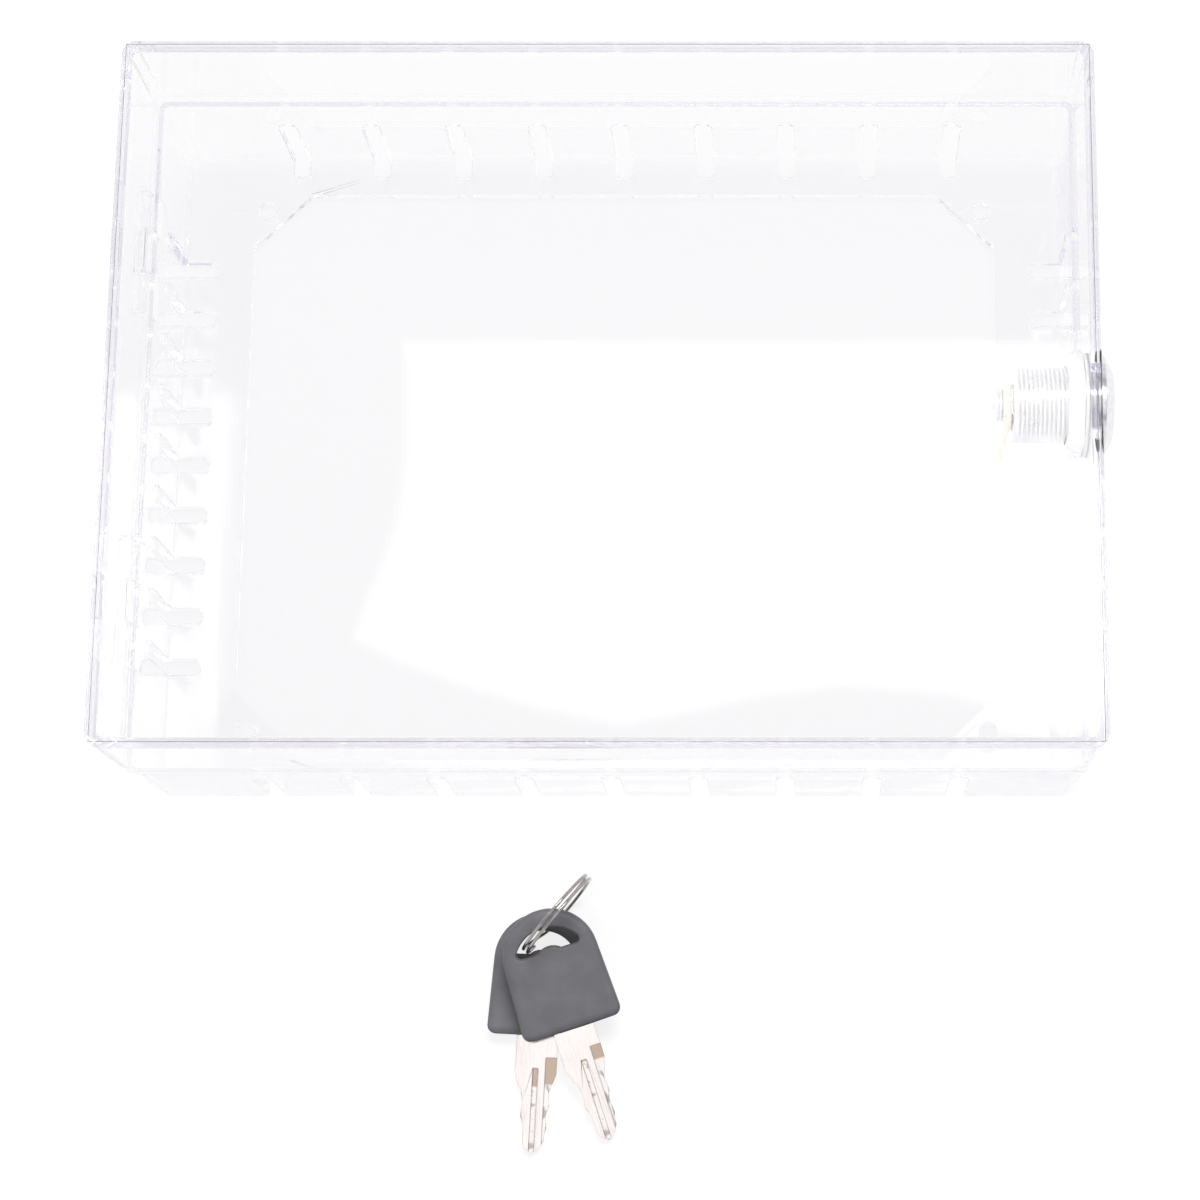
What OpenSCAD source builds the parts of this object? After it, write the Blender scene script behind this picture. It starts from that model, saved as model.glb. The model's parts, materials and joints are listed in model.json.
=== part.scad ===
// Clear two-part lock box for a wall thermostat, lying on its back with the cover closed,
// with its two keys on a split ring lying in front of it. Millimetres.
// Origin: centre of the four wall screw holes, on the back face.
// +X goes to the lock, +Y goes up the wall, +Z goes out into the room.

/* [Case] */
// Width of the cover, from the hinge wall to the lock wall
box_w = 220; // [184:1:270]
// Height of the cover, as it hangs on the wall
box_h = 163; // [140:1:200]
// Depth from the wall to the front face
box_d = 65; // [58:0.5:80]
// Depth of the wall tray, from the wall to the seam
seam_z = 33.5; // [27:0.5:38]
// Thickness of the walls, the floor and the front face
wall_t = 2.4; // [2:0.1:3]
// Radius of the four upright corners
corner_r = 4; // [2.5:0.1:5]
// Radius round the rim of the front face
edge_r = 1.2; // [0.6:0.1:1.8]
// Step in from the cover's side to the tray's side
seam_step = 0.8; // [0.4:0.1:1]
// Gap between the cover's rim and the tray's rim
seam_gap = 0.1; // [0.05:0.05:0.3]
// Height of the tongue on the tray's rim
lap_h = 1.6; // [1:0.1:2.5]
// Thickness of the cover's skin outside the tongue
lap_skin = 1.15; // [0.8:0.05:1.3]
// Gap round the tongue
lap_gap = 0.2; // [0.1:0.05:0.4]

/* [Wall opening] */
// Floor left beside the opening, at the hinges and at the lock
border_x = 19; // [17:0.5:24]
// Floor left above and below the opening
border_y = 12; // [10:0.5:18]
// Length of the corner cuts along X
corner_cut_x = 14; // [10:0.5:20]
// Length of the corner cuts along Y
corner_cut_y = 13.5; // [10:0.5:20]
// Distance from the case's side to a screw hole
screw_in_x = 22; // [20:0.5:26]
// Distance from the case's top or bottom to a screw hole
screw_in_y = 15.9; // [13:0.1:18]
// Diameter of the wall screw holes
screw_d = 4.4; // [3.5:0.1:4.8]

/* [Vent slots] */
// Number of slots in the top wall, and in the bottom wall
long_count = 9; // [5:2:9]
// Number of slots in each side wall
side_count = 9; // [5:2:9]
// Spacing of the slots in the top and bottom walls
long_pitch = 20; // [14:0.5:20]
// Spacing of the slots in the side walls
side_pitch = 12.5; // [10:0.5:14]
// Width of a top or bottom slot
slot_w = 4; // [3:0.1:5]
// Width of a side slot
side_slot_w = 3.7; // [3:0.1:5]
// Corner radius where a slot ends in the floor
slot_end_r = 0.9; // [0.3:0.1:1.4]
// Height of a slot up the wall
slot_h = 23; // [14:0.5:25]
// Reach of a top or bottom slot into the floor
slot_reach_y = 6.3; // [5:0.1:8]
// Reach of a side slot into the floor
slot_reach_x = 9.5; // [6:0.5:12]

/* [Hinges] */
// Distance of each hinge's middle from the box's middle
hinge_y = 42; // [34:1:46]
// Length of one knuckle
knuckle_l = 10; // [8:0.5:12]
// Outer radius of the knuckles
knuckle_r = 2; // [1.8:0.1:2.5]
// Radius of the hinge pins
pin_r = 1; // [0.8:0.05:1.2]
// Clearance of a knuckle from its neighbour, and of the knuckles from the cover's side
knuckle_gap = 0.2; // [0.1:0.05:0.4]
// Running clearance of the pins in the cover's knuckles
pin_fit = 0.06; // [0.03:0.01:0.1]

/* [Lock] */
// Distance of the lock's axis from the front face
lock_drop = 16.5; // [15.5:0.5:18]
// Radius of the lock's bezel
bezel_r = 12; // [10.5:0.1:12.5]
// Radius of the bezel's flat face
bezel_face_r = 8.2; // [8:0.1:9]
// Height of the bezel above the wall
bezel_h = 3.5; // [3:0.1:6]
// Height of the bezel's upright rim
bezel_rim = 1.4; // [0.8:0.1:2]
// Radius of the threaded barrel
barrel_r = 8.75; // [8.6:0.05:9.5]
// Distance from the axis to the barrel's two flats
barrel_flat = 8; // [7.8:0.1:8.3]
// Length of the barrel inside the wall's outer face
barrel_l = 17.5; // [16.5:0.5:24]
// Radius of the turning plug
plug_r = 6.25; // [6:0.05:6.3]
// Running clearance of the plug in its bore
plug_fit = 0.05; // [0.03:0.01:0.1]
// Side of the square tail
tail_w = 6; // [5:0.1:6.4]
// Distance across the nut's flats
nut_af = 22; // [20:0.5:24]
// Thickness of the nut
nut_t = 3.8; // [2.5:0.1:5]
// Thickness of the washer under the nut
nut_washer_t = 0.8; // [0.5:0.1:1.2]

/* [Cam and keeper] */
// Length of the cam, from the lock's axis to its tip
cam_l = 28; // [24:0.5:30]
// Width of the cam
cam_w = 10; // [9:0.5:12]
// Thickness of the cam
cam_t = 2; // [1.5:0.1:2.5]
// Thickness of the stop washer
stop_t = 1.2; // [1:0.1:1.5]
// Room between the locked cam and the keeper's arm
keeper_gap = 0.6; // [0.3:0.1:1.2]
// Thickness of the keeper's arm
keeper_arm_t = 3; // [2.5:0.1:3.5]
// Width of the keeper along the cam
keeper_w = 10; // [8:0.5:10]
// Thickness of the keeper's post
keeper_post_t = 4; // [3:0.1:5]

/* [Keys] */
// Length of the blade outside the head
blade_l = 27.2; // [24:0.1:33]
// Width of the blade's root
root_w = 9.6; // [8.5:0.1:10.5]
// Width of the bitted blade
blade_w = 7.5; // [7:0.1:7.8]
// Thickness of the blade
blade_t = 2; // [1.8:0.1:2.1]
// Length of the root, down to the shoulder
root_l = 8.8; // [7:0.1:9.5]
// Length of the head
head_l = 28.3; // [26:0.1:34]
// Width of the head
head_w = 23.4; // [22:0.1:28]
// Thickness of the head
head_t = 4; // [3.6:0.1:4.8]
// Radius of the head's rounded top
head_top_r = 11; // [10.6:0.1:11.2]
// Radius of the head's rounded rim
head_rim_r = 1.1; // [0.6:0.1:1.4]
// Radius of the ring hole's upper edge
hole_r = 8.8; // [8.2:0.1:9.2]
// Radius of the ring hole's two ends
hole_end_r = 1.1; // [0.6:0.1:1.4]
// Radius round the rim of the ring hole
hole_rim_r = 0.5; // [0.2:0.1:0.7]
// Bridge of plastic above the ring hole
hole_bridge = 4.1; // [3.6:0.1:5]
// Height of the ring hole at its middle, without the bump
hole_h = 5.6; // [5.4:0.1:6.2]
// Root of the front key, in plan
front_root = [-8.6, -136];
// Turn of the front key in plan
front_turn = 18; // [10:1:24]
// Turn of the back key in plan
back_turn = -2.5; // [-6:0.5:2]
// Clearance between pieces of the loose set
loose_gap = 0.3; // [0.2:0.1:0.5]

/* [Split ring] */
// Outer diameter of the ring
ring_d = 22.8; // [22:0.1:26]
// Wire thickness across the ring
wire_r = 1; // [0.8:0.1:1.2]
// Wire thickness along the ring's axis
wire_a = 0.75; // [0.6:0.05:0.8]
// Gap between the two turns
turn_gap = 0.45; // [0.42:0.01:0.6]
// Turn of the ring's plane in plan
ring_turn = 50.3; // [44:0.1:56]
// Lean of the ring from upright
ring_lean = 5; // [0:0.5:6]

/* [Hidden] */
$fn = 64;
// Overrun of a cut past the face that it leaves
cut = 1;

// Tray and cover
tray_w = box_w - 2 * seam_step;
tray_h = box_h - 2 * seam_step;
inner_r = max(corner_r - wall_t, 0.6);
cover_z = seam_z + seam_gap;
opening_w = box_w - 2 * border_x;
opening_h = box_h - 2 * border_y;
screw_x = box_w / 2 - screw_in_x;
screw_y = box_h / 2 - screw_in_y;

// Hinges, with the pin's axis on the seam
hinge_x = -(box_w / 2 + knuckle_r + knuckle_gap);
pin_head_r = 1.6;
pin_head_t = 0.8;
leaf_h = 5;

// Lock: distances along its axis are measured from the wall's outer face, plus is outwards
lock_z = box_d - lock_drop;
// Turn of the lock, from free to locked
lock_turn = 90;
bore_r = plug_r + plug_fit;
flange_r = plug_r + 0.75;
flange_t = 1.2;
face_in = 0.4;
face_w = bezel_h - face_in;
barrel_fit = 0.15;
nut_w = -(wall_t + nut_washer_t);
stop_w = -barrel_l - 0.2;
cam_face_w = stop_w - stop_t - 0.2;
cam_back_w = cam_face_w - cam_t;
tail_end_w = cam_back_w + 0.1;
tail_fit = 0.05;
spring_washer_t = 0.8;
spring_washer_r = 3.6;
screw_head_w = cam_back_w - spring_washer_t;
screw_head_t = 1.8;
screw_head_r = 3.7;
screw_shank_r = 1.9;
screw_shank_l = 4;
screw_fit = 0.05;
cross_l = 4;
cross_w = 0.8;
cross_deep = 1;
stop_r = 6.9;
stop_lip_in = 7.2;
stop_tab_half = 13;
stop_tab_r = barrel_r - 0.25;
stop_play = 2;

// Bitting, which the wafers line up with: distances along the blade are measured from its root
cut_pitch = 2.6;
shoulder_l = 3;
cut_first = root_l + shoulder_l + 1.2;
cut_flat = 1;

// Wafers and keyway
keyway_t = blade_t + 0.3;
keyway_w = blade_w + 0.4;
keyway_l = blade_l - root_l + 1;
wafer_count = 5;
wafer_pitch = cut_pitch;
wafer_first_w = face_w - (cut_first - root_l);
wafer_t = 1;
wafer_fit = 0.06;
wafer_travel = 0.5;
wafer_out = 3.4;
wafer_side = 1.9;
wafer_r = plug_r - 0.1;
wafer_window_half = 4.2;
lug_low = 0.9;
lug_high = 3.3;
pocket_low = -3.4;
pocket_high = lug_high + wafer_travel + 0.4;
spring_r = 0.5;
spring_y = wafer_side + 2 * wafer_fit + spring_r + 0.15;
groove_half = wafer_out + 0.3;
groove_out = wafer_r + wafer_travel + 0.25;

// Keeper: its post stands between the cam and the lock wall, past the nut
keeper_y = -16;
keeper_post_x = box_w / 2 + cam_face_w + 2;
keeper_tip_x = box_w / 2 + cam_back_w - 3.5;
keeper_low_z = lock_z + cam_w / 2 + keeper_gap;
keeper_top_z = keeper_low_z + keeper_arm_t;
keeper_web_t = 2.2;
keeper_web_y = -1.5 * side_pitch;

// Keys: in a key's own frame +Y runs up the head, and the blade's root is at the origin
head_over = (head_t - blade_t) / 2;
head_foot_r = 2;
tongue_w = 7;
tongue_l = 12;
hole_top = head_l - hole_bridge;
hole_centre = hole_top - hole_r;
hole_low = hole_top - hole_h;
bump_r = 4.2;
bump_h = 1.1;
groove_deep = 0.55;
groove_w = 1.2;
groove_start = 7.5;
side_groove_in = 1.5;
side_groove_start = 5;
cuts_right = [0.4, 0.2, 0.8, 0.6, 1];
cuts_left = [0.7, 1.1, 0.8, 1.5, 1.6];
tip_w = 3.8;
tip_l = 1.7;

// The ring stands on its rim and crosses both ring holes
ring_out = ring_d / 2;
ring_mid = ring_out - wire_r / 2;
ring_in = ring_out - wire_r;
ring_z = ring_out * cos(ring_lean) + (wire_a + turn_gap / 2) * sin(ring_lean);
ring_along = [cos(ring_turn), sin(ring_turn)];
ring_across = [sin(ring_turn), -cos(ring_turn)];
bridge_reach = hole_bridge + 0.8;
// Each key's tip is down; the back head clears the ring's foot, the front head clears the back one
back_lift = loose_gap + ring_out - sqrt(pow(ring_in, 2) - pow(bridge_reach, 2));
back_tilt = asin((back_lift + head_over) / (blade_l + hole_top));
back_top_z = blade_l * sin(back_tilt) + head_t - head_over;
front_tilt = asin((back_top_z + loose_gap + head_over) / blade_l);
back_root_z = blade_l * sin(back_tilt) + blade_t / 2;
front_root_z = blade_l * sin(front_tilt) + blade_t / 2;
// Where the ring's wire passes through each hole, in the key's own frame
front_cross = [3.8 - hole_r, hole_low + 1.9];
back_cross = [-2, hole_low + 2.6];

// A point in plan, turned about the origin
function turned(p, a) = [p[0] * cos(a) - p[1] * sin(a), p[0] * sin(a) + p[1] * cos(a)];
// Plan offset from a key's root to a point of its middle plane
function key_plan(p, turn, tilt) = turned([p[0], p[1] * cos(tilt)], turn);
// Plan offset from the ring's centre to its near wire at a height
function wire_plan(z) = let (s = (z - ring_z) / cos(ring_lean))
    -sqrt(pow(ring_mid, 2) - s * s) * ring_along + s * sin(ring_lean) * ring_across;
front_cross_z = front_root_z + front_cross[1] * sin(front_tilt);
back_cross_z = back_root_z + back_cross[1] * sin(back_tilt);
ring_pos = front_root + key_plan(front_cross, front_turn, front_tilt) - wire_plan(front_cross_z);
back_root = ring_pos + wire_plan(back_cross_z) - key_plan(back_cross, back_turn, back_tilt);

// Evenly numbered places about the middle
function spread(count, pitch) = [for (i = [0 : count - 1]) (i - (count - 1) / 2) * pitch];

// Block with rounded upright corners, from z0 to z1
module rounded_block(w, h, r, z0, z1) {
    translate([-w / 2 + r, -h / 2, z0]) cube([w - 2 * r, h, z1 - z0]);
    translate([-w / 2, -h / 2 + r, z0]) cube([w, h - 2 * r, z1 - z0]);
    for (x = [-1, 1], y = [-1, 1])
        translate([x * (w / 2 - r), y * (h / 2 - r), z0]) cylinder(r = r, h = z1 - z0);
}

// Bar along Y with its two upper edges rounded by the radius e
module crowned_bar(w, length, e, z0, z1) {
    translate([0, length / 2, 0]) rotate([90, 0, 0]) linear_extrude(length) {
        translate([-w / 2, z0]) square([w, z1 - e - z0]);
        translate([e - w / 2, z0]) square([w - 2 * e, z1 - z0]);
        for (x = [-1, 1]) translate([x * (w / 2 - e), z1 - e]) circle(r = e);
    }
}

// The same block with its top rim rounded, where a bar along X and a bar along Y cross
module soft_block(w, h, r, e, z0, z1) intersection() {
    rounded_block(w, h, r, z0, z1);
    crowned_bar(w, h + 2 * cut, e, z0 - cut, z1);
    rotate([0, 0, 90]) crowned_bar(h, w + 2 * cut, e, z0 - cut, z1);
}

// Slot up a wall at y = side, round at its top, and on into the floor, where its corners are small
module vent_slot(side, reach, w) {
    r = w / 2;
    e = slot_end_r;
    end = side - reach;
    translate([-r, side - wall_t - cut, -cut]) cube([w, wall_t + 2 * cut, slot_h - r + cut]);
    translate([0, side + cut, slot_h - r]) rotate([90, 0, 0]) cylinder(r = r, h = wall_t + 2 * cut);
    translate([-r, end + e, -cut]) cube([w, reach - e + cut, wall_t + 2 * cut]);
    translate([e - r, end, -cut]) cube([w - 2 * e, e + cut, wall_t + 2 * cut]);
    for (x = [-1, 1]) translate([x * (r - e), end + e, -cut]) cylinder(r = e, h = wall_t + 2 * cut);
}

// Octagonal opening for the thermostat
module wall_opening() {
    x = opening_w / 2;
    y = opening_h / 2;
    translate([0, 0, -cut]) linear_extrude(wall_t + 2 * cut) polygon([
        [x, -y + corner_cut_y], [x, y - corner_cut_y], [x - corner_cut_x, y], [corner_cut_x - x, y],
        [-x, y - corner_cut_y], [-x, corner_cut_y - y], [corner_cut_x - x, -y], [x - corner_cut_x, -y]]);
}

// One knuckle with the leaf that joins it to a wall: up is 1 on the cover and -1 on the tray
module knuckle(y, length, wall_x, up) {
    translate([hinge_x, y - length / 2, seam_z]) {
        rotate([-90, 0, 0]) cylinder(r = knuckle_r, h = length);
        low = up > 0 ? seam_gap : -leaf_h;
        depth = up > 0 ? leaf_h - seam_gap : leaf_h;
        translate([0, 0, low]) cube([wall_x - hinge_x, length, depth]);
    }
}

// Slanted cut that tapers a leaf away from the seam
module leaf_taper(up) {
    rise = up * leaf_h;
    translate([hinge_x, box_h / 2, seam_z]) rotate([90, 0, 0]) linear_extrude(box_h)
        polygon([[-2 * knuckle_r, 0], [-knuckle_r, 0], [-knuckle_r, up * 0.5],
            [knuckle_r + knuckle_gap, rise], [knuckle_r + knuckle_gap, 2 * rise],
            [-2 * knuckle_r, 2 * rise]]);
}

// Hook on the tray that the cam turns under, with a web to the lock wall
module keeper() {
    post_h = keeper_top_z - wall_t / 2;
    translate([keeper_post_x, keeper_y - keeper_w, wall_t / 2]) cube([keeper_post_t, keeper_w, post_h]);
    translate([keeper_tip_x, keeper_y - keeper_w, keeper_low_z])
        cube([keeper_post_x + keeper_post_t - keeper_tip_x, keeper_w, keeper_arm_t]);
    translate([keeper_post_x + 1, keeper_web_y - keeper_web_t / 2, wall_t / 2])
        cube([tray_w / 2 - wall_t / 2 - keeper_post_x - 1, keeper_web_t, seam_z - wall_t - 1]);
}

module base_tray() color([0.93, 0.93, 0.97, 0.35]) difference() {
    union() {
        difference() {
            union() {
                rounded_block(tray_w, tray_h, corner_r, 0, seam_z);
                rounded_block(box_w - 2 * (lap_skin + lap_gap), box_h - 2 * (lap_skin + lap_gap),
                    corner_r - lap_skin, wall_t, seam_z + lap_h);
            }
            rounded_block(tray_w - 2 * wall_t, tray_h - 2 * wall_t, inner_r, wall_t, box_d);
        }
        difference() {
            for (y = [-1, 1], end = [-1, 1])
                knuckle(y * hinge_y + end * knuckle_l, knuckle_l - knuckle_gap, -tray_w / 2 + wall_t / 2, -1);
            leaf_taper(-1);
        }
        keeper();
    }
    wall_opening();
    for (x = spread(long_count, long_pitch), turn = [0, 180])
        rotate([0, 0, turn]) translate([x, 0, 0]) vent_slot(tray_h / 2, slot_reach_y, slot_w);
    for (y = spread(side_count, side_pitch), turn = [90, -90])
        rotate([0, 0, turn]) translate([y, 0, 0]) vent_slot(tray_w / 2, slot_reach_x, side_slot_w);
    for (x = [-1, 1], y = [-1, 1])
        translate([x * screw_x, y * screw_y, -cut]) cylinder(d = screw_d, h = wall_t + 2 * cut);
    for (y = [-1, 1])
        translate([hinge_x, y * hinge_y - 2 * knuckle_l, seam_z]) rotate([-90, 0, 0])
            cylinder(r = pin_r, h = 4 * knuckle_l);
}

module front_cover() color([0.93, 0.93, 0.97, 0.35]) difference() {
    union() {
        difference() {
            soft_block(box_w, box_h, corner_r, edge_r, cover_z, box_d);
            rounded_block(box_w - 2 * wall_t, box_h - 2 * wall_t, inner_r, 0, box_d - wall_t);
            rounded_block(box_w - 2 * lap_skin, box_h - 2 * lap_skin, corner_r - lap_skin, 0,
                cover_z + lap_h + lap_gap);
        }
        difference() {
            for (y = [-1, 1])
                knuckle(y * hinge_y, knuckle_l - knuckle_gap, -box_w / 2 + lap_skin / 2, 1);
            leaf_taper(1);
        }
    }
    for (y = [-1, 1])
        translate([hinge_x, y * hinge_y - knuckle_l, seam_z]) rotate([-90, 0, 0])
            cylinder(r = pin_r + pin_fit, h = 2 * knuckle_l);
    on_lock_axis() barrel(barrel_fit, -2 * wall_t, cut);
}

// Hinge pin with a domed head at its upper end, fixed in the tray's knuckles
module hinge_pin(y) color([0.9, 0.9, 0.95, 0.5]) translate([hinge_x, y, seam_z]) {
    half = 1.5 * knuckle_l;
    translate([0, -half, 0]) rotate([-90, 0, 0]) cylinder(r = pin_r, h = 2 * half);
    translate([0, half, 0]) rotate([-90, 0, 0]) {
        cylinder(r = pin_head_r, h = pin_head_t / 2);
        translate([0, 0, pin_head_t / 2])
            cylinder(r1 = pin_head_r, r2 = pin_head_r - pin_head_t / 2, h = pin_head_t / 2);
    }
}

// The lock's own frame: +Z outwards along its axis, +X towards the wall behind the box
module on_lock_axis() {
    translate([box_w / 2, 0, lock_z]) rotate([0, 90, 0]) children();
}

// Round bar with two flats, grown by a clearance
module barrel(grow, w0, w1) intersection() {
    translate([0, 0, w0]) cylinder(r = barrel_r + grow, h = w1 - w0);
    translate([-2 * barrel_r, -barrel_flat - grow, w0])
        cube([4 * barrel_r, 2 * (barrel_flat + grow), w1 - w0]);
}

// Wedge of a half angle about +X
module wedge(half, reach, w0, w1) {
    translate([0, 0, w0]) linear_extrude(w1 - w0) polygon([[0, 0],
        reach * [cos(half), -sin(half)], reach * [1 / cos(half / 2), 0], reach * [cos(half), sin(half)]]);
}

// Square bar on the lock's axis
module square_bar(side, w0, w1) {
    translate([-side / 2, -side / 2, w0]) cube([side, side, w1 - w0]);
}

module lock_housing() color([0.8, 0.8, 0.82]) on_lock_axis() difference() {
    lip_w = stop_w - stop_t;
    union() {
        cylinder(r = bezel_r, h = bezel_rim);
        translate([0, 0, bezel_rim]) cylinder(r1 = bezel_r, r2 = bezel_face_r, h = bezel_h - bezel_rim);
        difference() {
            barrel(0, lip_w, 0);
            translate([0, 0, lip_w - cut]) cylinder(r = stop_lip_in, h = cut - barrel_l - lip_w);
            wedge(lock_turn / 2 + stop_tab_half + stop_play, 2 * barrel_r, lip_w - cut, -barrel_l);
        }
    }
    translate([0, 0, lip_w - cut]) cylinder(r = bore_r, h = bezel_h - lip_w + 2 * cut);
    translate([0, 0, face_w - flange_t - plug_fit])
        cylinder(r = flange_r + plug_fit, h = flange_t + cut);
    for (turn = [0, 90]) rotate([0, 0, turn])
        translate([-groove_out, -groove_half, wafer_first_w - wafer_count * wafer_pitch])
            cube([2 * groove_out, 2 * groove_half, wafer_count * wafer_pitch + wafer_pitch / 2]);
}

// Ring washer with the barrel's outline in its middle
module nut_washer() color([0.72, 0.72, 0.74]) on_lock_axis() difference() {
    translate([0, 0, nut_w]) cylinder(r = nut_af / 2 + 0.8, h = nut_washer_t);
    barrel(barrel_fit, nut_w - cut, -wall_t + cut);
}

module lock_nut() color([0.8, 0.8, 0.82]) on_lock_axis() difference() {
    chamfer_r = nut_af / 2 + 0.3;
    translate([0, 0, nut_w - nut_t]) intersection() {
        cylinder(r = nut_af / sqrt(3), h = nut_t, $fn = 6);
        cylinder(r1 = chamfer_r, r2 = chamfer_r + nut_t, h = nut_t);
    }
    translate([0, 0, nut_w - nut_t - cut]) cylinder(r = barrel_r + barrel_fit, h = nut_t + 2 * cut);
}

module lock_plug() color([0.75, 0.75, 0.77]) on_lock_axis() difference() {
    union() {
        translate([0, 0, -barrel_l]) cylinder(r = plug_r, h = barrel_l + face_w);
        translate([0, 0, face_w - flange_t]) cylinder(r = flange_r, h = flange_t);
        square_bar(tail_w, tail_end_w, -barrel_l);
    }
    translate([-keyway_w / 2, -keyway_t / 2, face_w - keyway_l])
        cube([keyway_w, keyway_t, keyway_l + cut]);
    for (i = [0 : wafer_count - 1])
        translate([0, 0, wafer_first_w - i * wafer_pitch - wafer_t / 2 - wafer_fit]) {
            slot_t = wafer_t + 2 * wafer_fit;
            translate([-2 * plug_r, -wafer_out - wafer_fit, 0])
                cube([4 * plug_r, wafer_out + wafer_side + 2 * wafer_fit, slot_t]);
            translate([-pocket_high, 0, 0])
                cube([pocket_high - pocket_low, wafer_out + wafer_fit, slot_t]);
        }
    translate([0, 0, tail_end_w - cut]) cylinder(r = screw_shank_r, h = screw_shank_l + 0.5 + cut);
}

// One wafer at the shear line, with its window for the blade and the lug that its spring lifts
module wafer(i) color([0.82, 0.68, 0.35]) on_lock_axis()
    translate([0, 0, wafer_first_w - i * wafer_pitch - wafer_t / 2]) difference() {
        union() {
            intersection() {
                cylinder(r = wafer_r, h = wafer_t);
                translate([-2 * plug_r, -wafer_out, 0]) cube([4 * plug_r, wafer_out + wafer_side, wafer_t]);
            }
            translate([-lug_high, 0, 0]) cube([lug_high - lug_low, wafer_out, wafer_t]);
        }
        translate([-wafer_window_half, -keyway_t / 2, -cut])
            cube([2 * wafer_window_half, keyway_t, wafer_t + 2 * cut]);
    }

// Five wafer springs, each standing in its pocket under its wafer's lug
module wafer_springs() color([0.6, 0.6, 0.62]) on_lock_axis()
    for (i = [0 : wafer_count - 1])
        translate([-pocket_low, spring_y, wafer_first_w - i * wafer_pitch])
            rotate([0, -90, 0]) cylinder(r = spring_r, h = -pocket_low - lug_low);

module cam_stop_washer() color([0.78, 0.78, 0.8]) on_lock_axis() difference() {
    union() {
        translate([0, 0, stop_w - stop_t]) cylinder(r = stop_r, h = stop_t);
        intersection() {
            translate([0, 0, stop_w - stop_t]) cylinder(r = stop_tab_r, h = stop_t);
            rotate([0, 0, lock_turn / 2])
                wedge(stop_tab_half, 2 * barrel_r, stop_w - stop_t, stop_w);
        }
    }
    square_bar(tail_w + 2 * tail_fit, stop_w - stop_t - cut, stop_w + cut);
}

// Flat cam, hanging towards the wall behind the box when the lock is free
module cam() color([0.8, 0.7, 0.5]) on_lock_axis() difference() {
    tip_r = 2;
    translate([0, 0, cam_back_w]) {
        cylinder(r = cam_w / 2, h = cam_t);
        translate([0, -cam_w / 2, 0]) cube([cam_l - tip_r, cam_w, cam_t]);
        translate([0, -cam_w / 2 + tip_r, 0]) cube([cam_l, cam_w - 2 * tip_r, cam_t]);
        for (y = [-1, 1])
            translate([cam_l - tip_r, y * (cam_w / 2 - tip_r), 0]) cylinder(r = tip_r, h = cam_t);
    }
    square_bar(tail_w + 2 * tail_fit, cam_back_w - cut, cam_face_w + cut);
}

module cam_spring_washer() color([0.72, 0.72, 0.74]) on_lock_axis()
    translate([0, 0, screw_head_w]) difference() {
        cylinder(r = spring_washer_r, h = spring_washer_t);
        translate([0, 0, -cut]) cylinder(r = screw_shank_r + 0.15, h = spring_washer_t + 2 * cut);
    }

module cam_screw() color([0.8, 0.8, 0.82]) on_lock_axis() difference() {
    union() {
        translate([0, 0, screw_head_w])
            cylinder(r = screw_shank_r - screw_fit, h = tail_end_w - screw_head_w + screw_shank_l);
        translate([0, 0, screw_head_w - screw_head_t / 2])
            cylinder(r = screw_head_r, h = screw_head_t / 2);
        translate([0, 0, screw_head_w - screw_head_t])
            cylinder(r1 = screw_head_r - 0.9, r2 = screw_head_r, h = screw_head_t / 2);
    }
    for (turn = [0, 90]) rotate([0, 0, turn])
        translate([-cross_l / 2, -cross_w / 2, screw_head_w - screw_head_t - cut])
            cube([cross_l, cross_w, cross_deep + cut]);
}

// Solid skinned over a list of rings, each with as many points, counter-clockwise seen from its end
module skinned(rings) {
    n = len(rings[0]);
    last = (len(rings) - 1) * n;
    sides = [for (i = [0 : len(rings) - 2], j = [0 : n - 1])
        let (a = i * n + j, b = i * n + (j + 1) % n) each [[a, a + n, b], [b, a + n, b + n]]];
    foot = [for (j = [1 : n - 2]) [0, j, j + 1]];
    top = [for (j = [1 : n - 2]) [last, last + j + 1, last + j]];
    polyhedron(points = [for (r = rings) each r], faces = concat(sides, foot, top));
}

// Points round an arc, from angle a0 to a1
function arc(c, r, a0, a1, steps) =
    [for (i = [0 : steps]) let (a = a0 + (a1 - a0) * i / steps) c + r * [cos(a), sin(a)]];
// Outline of a key head, drawn in by a distance: two foot corners and the round top
function head_outline(inset) =
    let (foot = [head_w / 2 - head_foot_r, head_foot_r], crown = [0, head_l - head_top_r],
        step = crown - foot,
        lean = acos((head_top_r - head_foot_r) / norm(step)) - atan2(step[1], -step[0]))
    concat(arc(foot, head_foot_r - inset, -90, lean, 7),
        arc(crown, head_top_r - inset, lean, 180 - lean, 30),
        arc([-foot[0], foot[1]], head_foot_r - inset, 180 - lean, 270, 7));
// A flat outline at a height
function at_height(outline, z) = [for (p = outline) [p[0], p[1], z]];

// Outline of the ring hole, grown by a distance: round ends, the arched top and the bump below
function hole_outline(grow) =
    let (end_y = hole_low + hole_end_r, rise = end_y - hole_centre,
        end_x = sqrt(pow(hole_r - hole_end_r, 2) - rise * rise), lean = atan2(rise, end_x),
        bump = asin((bump_r - bump_h - grow) / (bump_r - grow)))
    concat(arc([end_x, end_y], hole_end_r + grow, -90, lean, 6),
        arc([0, hole_centre], hole_r + grow, lean, 180 - lean, 20),
        arc([-end_x, end_y], hole_end_r + grow, 180 - lean, 270, 6),
        arc([0, hole_low + bump_h - bump_r], bump_r - grow, 180 - bump, bump, 8));

// Steps of a rim rounded by a radius, each as its distances in from the side and from the face
function round_rim(r, steps) = [for (i = [0 : steps]) let (a = 90 * i / steps) r * [1 - sin(a), 1 - cos(a)]];

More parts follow.
